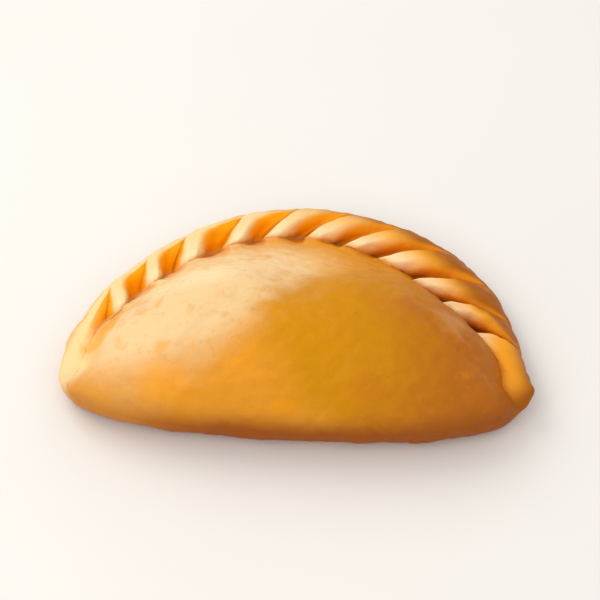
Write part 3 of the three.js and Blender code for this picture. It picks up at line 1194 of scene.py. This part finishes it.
@dataclass(frozen=True)
class BakedDough:
    """Baked dough under a thin egg wash: its colours, where each shows, and its grain."""

    # The colours, as screens show them.
    golden: Colour = paint(230, 152, 38)
    pale: Colour = paint(242, 206, 152)
    cream: Colour = paint(248, 216, 156)
    # laid on only as painted highlights, on the heads and on the belly's top
    light: Colour = paint(255, 230, 182)
    yolk: Colour = paint(210, 139, 2)
    rosy: Colour = paint(181, 101, 24)
    sunny: Colour = paint(252, 172, 44)
    amber: Colour = paint(255, 164, 4)
    honey: Colour = paint(226, 134, 16)
    brown: Colour = paint(158, 82, 14)
    dark: Colour = paint(140, 66, 8)

    # The noises, from coarse to fine, and their shares in the unevenness of all borders.
    clouds: Noise = Noise(42.0, 4.0, 0.55, 3.1, 0.6)
    blotches: Noise = Noise(105.0, 3.0, 0.6, 7.9, 1.2)
    mottle: Noise = Noise(230.0, 2.5, 0.55, 1.7)
    grain: Noise = Noise(900.0, 3.0, 0.6, 5.3)
    uneven_shares: tuple[float, float, float] = (0.8, 0.5, 0.3)

    # The regions, in the object's own coordinates.
    # paler dough at the left end and back, partly as painted light from the left
    pale_end: Area = Area((-42.0, -14.0, 22.0), (44.0, 36.0, 44.0))
    pale_back: Area = Area((-18.0, 3.0, 22.0), (46.0, 36.0, 44.0))
    # painted highlight: sheen on the belly's top, left of the crown
    top_highlight: Area = Area((-31.0, 2.0, 28.0), (27.0, 18.0, 26.0))
    # cream at the left tip, partly as painted light
    pale_tip: Area = Area((-67.0, -20.0, 9.0), (14.0, 19.0, 14.0))
    # an amber patch low on the left end
    left_end_amber: Area = Area((-58.5, -16.0, 13.5), (9.5, 17.0, 14.0))
    # painted highlights on the blisters by the right heads
    blister_highlights: Area = Area((46.0, -12.0, 28.0), (12.0, 11.0, 10.0))
    yolky: Area = Area((25.0, -21.0, 30.0), (47.0, 42.0, 46.0))
    toasted: tuple[Area, ...] = (
        Area((-37.0, -37.0, 24.0), (17.0, 12.0, 15.0)),
        Area((-38.0, -29.0, 30.0), (4.5, 5.0, 6.0)),
        Area((-48.0, -33.0, 18.0), (9.0, 8.0, 9.0)),
        Area((-2.0, -41.0, 21.0), (9.0, 7.0, 6.0)),
        Area((20.0, -37.0, 26.0), (12.0, 9.0, 10.0)),
        Area((33.0, -10.0, 33.0), (8.0, 8.0, 8.0)),
    )

    # How each colour lies over what is below it; those over X and Z are in metres.
    to_right: Veil = Veil(-0.02, 0.04)
    # paler dough at the left, partly painted light
    pale_and_lit_veil: Veil = Veil(0.05, 1.1, unevenness=1.0)
    pale_gain: float = 1.6
    amber_veil: Veil = Veil(0.03, 0.22, 0.34)
    yolk_veil: Veil = Veil(-0.04, 0.4, 0.97, 0.6)
    # rosy towards the right: partly browning, partly painted shade
    rosy_and_shade_veil: Veil = Veil(0.005, 0.055, 0.9, 0.03)
    # painted highlight on the belly's top
    top_highlight_veil: Veil = Veil(0.0, 1.0, 0.7, 0.4)
    # painted highlights on the blisters
    blister_highlight_veil: Veil = Veil(0.2, 1.0, 0.17, 1.5)
    toast_veil: Veil = Veil(0.2, 1.0, 0.55, 0.9)
    freckle_veil: Veil = Veil(0.06, 0.24, 0.22, 0.2)
    # cream at the left tip, partly painted light
    pale_and_lit_tip_veil: Veil = Veil(0.05, 0.7, 1.0, 0.2)
    ridge_end_veil: Veil = Veil(0.05, 0.066, 0.3)
    outer_strength: float = 0.9
    outer_veil: Veil = Veil(0.3, 1.2, 0.7, 1.0)
    hollow_veil: Veil = Veil(0.05, 0.9, 1.0, 0.4)
    # the amber patch low on the left end
    left_end_amber_veil: Veil = Veil(0.2, 1.1, 0.75, 2.2)
    # how strongly the painted seam shade shows
    seam_shade_strength: float = 0.7
    # how dark the painted crease shade is
    crease_shade_strength: float = 0.75
    # browned foot, and on the lower front partly painted shade
    browning_and_shade_veil: Veil = Veil(0.1, 1.0, 1.0, 0.35)
    base_shares: tuple[float, float, float] = (0.6, 1.0, 0.4)
    base_mottle_veil: Veil = Veil(-0.2, 0.15)
    base_veil: Veil = Veil(0.005, 0.001, 0.8)
    grain_veil: Veil = Veil(0.14, 0.3, 0.2)

    # Pits and relief, roughness and the egg wash's gloss.
    pit_scale: float = 420.0
    pit_seed: float = 2.2
    pit_veil: Veil = Veil(0.16, 0.02)
    mottle_relief: float = 0.5
    grain_relief: float = 0.35
    pit_relief: float = 0.25
    bump_strength: float = 0.6
    bump_distance: float = 0.0008
    roughness: float = 0.46
    mottle_roughness: float = 0.2
    foot_roughness: float = 0.1
    refraction: float = 1.16
    gloss: float = 0.06
    gloss_roughness: float = 0.3
    gloss_refraction: float = 1.4

    def material(self) -> bpy.types.Material:
        """The finish, laid on colour by colour from the golden ground to the browned foot.

        Returns:
            The material.
        """
        tree = ShaderTree("baked_dough")
        place = tree.coordinate("X")
        clouds, blotches, mottle, grain = (
            tree.noise(noise) for noise in (self.clouds, self.blotches, self.mottle, self.grain)
        )
        parts = (clouds, blotches, mottle)
        uneven = sum(part * share for part, share in zip(parts, self.uneven_shares))
        to_right = self.to_right.share(place)
        foot = self.browning_and_shade_veil.share(tree.attribute(Mark.LOW), uneven)

        colour = self.belly(tree, place, to_right, (blotches, mottle, uneven))
        ridges = self.ridges(tree, place, to_right, uneven)
        colour = tree.colour(colour, ridges, tree.attribute(Mark.CRIMP))
        # amber hollows: partly pooled egg wash, partly painted shade; the steep sides painted shade
        hollows = tree.colour(self.amber, self.honey, to_right)
        pocket = self.hollow_veil.share(tree.attribute(Mark.POCKET), uneven)
        colour = tree.colour(colour, hollows, pocket)
        # amber low on the left end
        colour = tree.colour(colour, self.amber, self.left_end_amber_veil.share(tree.patch(self.left_end_amber), uneven))
        # painted shade: golden in the seam's crease, darker than the cream there
        colour = tree.colour(colour, self.golden, tree.attribute(Mark.SEAM_SHADE) * self.seam_shade_strength)
        # painted shade: the creases between folds and the gaps between heads darkened
        colour = tree.colour(colour, self.dark, tree.attribute(Mark.CREASE_SHADE) * self.crease_shade_strength)
        # brown: baked foot, and on the lower front partly painted shade
        colour = tree.colour(colour, self.brown, foot)
        spotted = sum(part * share for part, share in zip(parts, self.base_shares))
        base = tree.colour(self.rosy, self.dark, self.base_mottle_veil.share(spotted))
        colour = tree.colour(colour, base, self.base_veil.share(tree.coordinate("Z")))
        colour = tree.colour(colour, self.rosy, self.grain_veil.share(grain))

        pits = self.pit_veil.share(tree.specks(self.pit_scale, self.pit_seed))
        relief = mottle * self.mottle_relief + grain * self.grain_relief - pits * self.pit_relief
        bump = tree.node("ShaderNodeBump", sockets={
            "Strength": self.bump_strength, "Distance": self.bump_distance, "Height": relief,
        })
        roughness = self.roughness + mottle * self.mottle_roughness + foot * self.foot_roughness
        return tree.finish({
            "Base Color": colour, "Roughness": roughness, "Normal": bump.outputs["Normal"],
            "IOR": self.refraction, "Coat Weight": self.gloss,
            "Coat Roughness": self.gloss_roughness, "Coat IOR": self.gloss_refraction,
        })

    def belly(self, tree: ShaderTree, place: Value, to_right: Value,
              noises: tuple[Value, Value, Value]) -> Any:
        """The belly's colours: pale at the left partly as painted light, yolk, and rosy at the right
        partly as painted shade.

        Args:
            tree: the material's tree.
            place: the object's own X, in metres.
            to_right: 0 at the left to 1 at the right.
            noises: the blotches, the mottle and the unevenness of all borders.

        Returns:
            The colour's socket.
        """
        blotches, mottle, uneven = noises
        pale = (tree.patch(self.pale_end) + tree.patch(self.pale_back)) * self.pale_gain
        toasted = tree.patch(self.toasted[0])
        for area in self.toasted[1:]:
            toasted = toasted.greatest(tree.patch(area))
        toast = tree.colour(self.amber, self.rosy, to_right)
        layers = (
            # pale at the left: paler dough, partly painted light
            (self.pale, self.pale_and_lit_veil.share(pale, uneven)),
            (self.amber, self.amber_veil.share(blotches)),
            (self.yolk, self.yolk_veil.share(tree.patch(self.yolky), uneven)),
            # rosy at the right: partly browning, partly painted shade
            (self.rosy, self.rosy_and_shade_veil.share(place, uneven)),
            # painted highlight: sheen on the belly's top
            (self.light, self.top_highlight_veil.share(tree.patch(self.top_highlight), uneven)),
            # painted highlights on the blisters
            (self.pale, self.blister_highlight_veil.share(tree.patch(self.blister_highlights), mottle)),
            (toast, self.toast_veil.share(toasted, uneven)),
            (self.honey, self.freckle_veil.share(mottle, uneven)),
            # cream at the left tip: partly painted light
            (self.cream, self.pale_and_lit_tip_veil.share(tree.patch(self.pale_tip), uneven)),
        )
        colour = self.golden
        for above, share in layers:
            colour = tree.colour(colour, above, share)
        return colour

    def ridges(self, tree: ShaderTree, place: Value, to_right: Value, uneven: Value) -> Any:
        """The folds: cream at the left partly as painted light, sunny at the right, painted head
        highlights, browner outside.

        Args:
            tree: the material's tree.
            place: the object's own X, in metres.
            to_right: 0 at the left to 1 at the right.
            uneven: the unevenness of all borders.

        Returns:
            The colour's socket.
        """
        outer = tree.attribute(Mark.OUTER) * self.outer_strength
        # cream at the left: the dough's colour, partly painted light on the crests
        colour = tree.colour(self.cream, self.sunny, to_right)
        colour = tree.colour(colour, self.honey, self.ridge_end_veil.share(place))
        # painted highlight on the heads' crests
        colour = tree.colour(colour, self.light, tree.attribute(Mark.HEAD_HIGHLIGHT))
        # outer band golden at the left and brown at the right: partly browning, partly painted shade
        colour = tree.colour(colour, self.golden, self.outer_veil.share(outer, uneven))
        return tree.colour(colour, self.brown, outer * to_right)


@dataclass(frozen=True)
class Empanada:
    """The whole empanada: one skin in one finish, in the place of the CAD solid."""

    crust: Crust = Crust()
    marking: Marking = Marking()
    finish: BakedDough = BakedDough()

    def surface(self, rings: np.ndarray) -> tuple[np.ndarray, np.ndarray]:
        """The skin's points and triangles: a cap at the crown, bands, and a cap below.

        Args:
            rings: rows by columns by three, in millimetres.

        Returns:
            The points in metres and the triangles, outward facing.
        """
        rows, columns = rings.shape[:2]
        crown = self.crust.crown
        top = np.array([*crown, self.crust.belly_height(crown) + self.crust.belly.lump(crown)])
        base = np.array([*crown, 0.0])
        points = np.concatenate([top[None], rings.reshape(-1, 3), base[None]])
        place = np.arange(columns)
        after = (place + 1) % columns
        start = 1 + np.arange(rows - 1)[:, None] * columns
        inner, inner_next = start + place, start + after
        outer, outer_next = inner + columns, inner_next + columns
        one = np.stack([inner, inner_next, outer_next], axis=-1).reshape(-1, 3)
        two = np.stack([inner, outer_next, outer], axis=-1).reshape(-1, 3)
        cap = np.stack([np.zeros_like(place), 1 + after, 1 + place], axis=-1)
        last = 1 + (rows - 1) * columns
        under = np.stack([np.full_like(place, len(points) - 1), last + place, last + after], axis=-1)
        return points * MM, np.concatenate([cap, one, two, under])

    def normals(self, rings: np.ndarray) -> np.ndarray:
        """Directions out of the skin: the cross product of its two grid directions.

        Args:
            rings: rows by columns by three.

        Returns:
            A unit vector for each point.
        """
        down = np.gradient(rings, axis=0)
        around = (np.roll(rings, -1, axis=1) - np.roll(rings, 1, axis=1)) / 2.0
        outward = np.cross(down, around)
        length = np.linalg.norm(outward, axis=-1, keepdims=True)
        return outward / np.maximum(length, SHORTEST)

    def build(self) -> bpy.types.Object:
        """Makes the mesh, sets it in the middle of the CAD solid's box and dresses it.

        Returns:
            The piece.
        """
        rings = self.crust.rings()
        marks = self.marking.marks(self.crust, rings)
        raised = self.crust.dough.raised(rings)
        points, corners = self.surface(rings + self.normals(rings) * raised[..., None])
        low, high = (np.array(corner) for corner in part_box(NODE))
        middle = (points.min(axis=0) + points.max(axis=0)) / 2.0
        points[:, :2] += ((low + high) / 2.0 - middle)[:2]
        mesh = new_mesh("crust", points, corners)
        for mark, values in marks.items():
            padded = np.concatenate([[values[0].mean()], values.ravel(), [values[-1].mean()]])
            attribute = mesh.attributes.new(mark.value, "FLOAT", "POINT")
            attribute.data.foreach_set("value", padded.astype(np.float32))
        mesh.shade_smooth()
        mesh.materials.append(self.finish.material())
        piece = new_object("crust", mesh)
        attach(piece, "root")
        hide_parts(NODE)
        log.info("crust: %d points, %d triangles", len(points), len(corners))
        return piece


@dataclass(frozen=True)
class Stand:
    """A place round the object: degrees round from the front, degrees up, and metres away."""

    azimuth: float
    elevation: float
    distance: float

    def put(self, thing: bpy.types.Object, target: Vector) -> None:
        """Puts a lamp or the camera there and points it at the target.

        Args:
            thing: the lamp or the camera.
            target: what it points at, in metres.
        """
        turn, rise = math.radians(self.azimuth), math.radians(self.elevation)
        level = Vector((math.sin(turn), -math.cos(turn), 0.0)) * math.cos(rise)
        away = level + Vector((0.0, 0.0, math.sin(rise)))
        thing.location = target + away * self.distance
        thing.rotation_euler = (-away).to_track_quat("-Z", "Y").to_euler()


class Job(Enum):
    """The lamps' jobs."""

    KEY = "key"
    FILL = "fill"


@dataclass(frozen=True)
class Lamp:
    """A soft square lamp: its job, place, width in metres, power in watts and tint."""

    job: Job
    stand: Stand
    width: float
    power: float
    tint: tuple[float, float, float]

    def build(self, target: Vector) -> bpy.types.Object:
        """Hangs the lamp round the target.

        Args:
            target: what it points at, in metres.

        Returns:
            The lamp.
        """
        light = bpy.data.lights.new(self.job.value, "AREA")
        light.shape = "SQUARE"
        light.size = self.width
        light.energy = self.power
        light.color = self.tint
        lamp = new_object(self.job.value, light)
        self.stand.put(lamp, target)
        log.info("lamp %s: %.1f W", self.job.value, self.power)
        return lamp


@dataclass(frozen=True)
class Floor:
    """A wide pale matt sheet, a little under the object."""

    width: float = 6.0
    gap: float = 0.0002
    shade: Colour = (0.86, 0.85, 0.83, 1.0)
    light: Colour = (0.9, 0.89, 0.87, 1.0)
    clouds: Noise = Noise(9.0, 2.0, 0.5)
    roughness: float = 0.8

    def material(self) -> bpy.types.Material:
        """The finish: soft clouds of its two pale colours.

        Returns:
            The material.
        """
        tree = ShaderTree("pale_floor")
        colour = tree.colour(self.shade, self.light, tree.noise(self.clouds) + NOISE_MIDDLE)
        return tree.finish({"Base Color": colour, "Roughness": self.roughness})

    def build(self) -> bpy.types.Object:
        """Lays the sheet.

        Returns:
            The floor.
        """
        reach = self.width / 2.0
        corners = np.array([[-reach, -reach], [reach, -reach], [reach, reach], [-reach, reach]])
        mesh = new_mesh("floor", lift_plan(corners, np.full(len(corners), -self.gap)), [(0, 1, 2, 3)])
        mesh.materials.append(self.material())
        floor = new_object("floor", mesh)
        return floor


@dataclass(frozen=True)
class Studio:
    """The pale floor, the sky, the soft lamps and the camera."""

    floor: Floor = Floor()
    view: Stand = Stand(3.5, 52.0, 0.62)
    lens: float = 125.0
    nearest: float = 0.01
    sky: Colour = (1.0, 0.985, 0.96, 1.0)
    sky_strength: float = 0.78
    lamps: tuple[Lamp, ...] = (
        Lamp(Job.KEY, Stand(-125.0, 50.0, 0.9), 0.6, 2.4, (1.0, 0.94, 0.84)),
        Lamp(Job.FILL, Stand(-32.0, 50.0, 0.9), 0.6, 1.5, (1.0, 0.96, 0.9)),
    )

    def world(self) -> None:
        """An even pale sky."""
        world = bpy.data.worlds.new("sky")
        world.use_nodes = True
        background = world.node_tree.nodes["Background"]
        background.inputs["Color"].default_value = self.sky
        background.inputs["Strength"].default_value = self.sky_strength
        bpy.context.scene.world = world

    def camera(self, target: Vector) -> None:
        """Looks at the target from in front and above.

        Args:
            target: the middle of the picture, in metres.
        """
        data = bpy.data.cameras.new("camera")
        data.lens = self.lens
        data.clip_start = self.nearest
        camera = new_object("camera", data)
        self.view.put(camera, target)
        bpy.context.scene.camera = camera

    def build(self) -> None:
        """Sets the stage round the object."""
        low, high = CAD_BOX
        target = (low + high) / 2.0
        self.floor.build()
        self.world()
        for lamp in self.lamps:
            lamp.build(target)
        self.camera(target)
        settings = bpy.context.scene.view_settings
        settings.view_transform = "Standard"
        settings.look = "None"


def main() -> None:
    """Builds the empanada, then the studio round it."""
    logging.basicConfig(level=logging.INFO, format="%(name)s: %(message)s")
    Empanada().build()
    Studio().build()


if __name__ == "__main__":
    main()
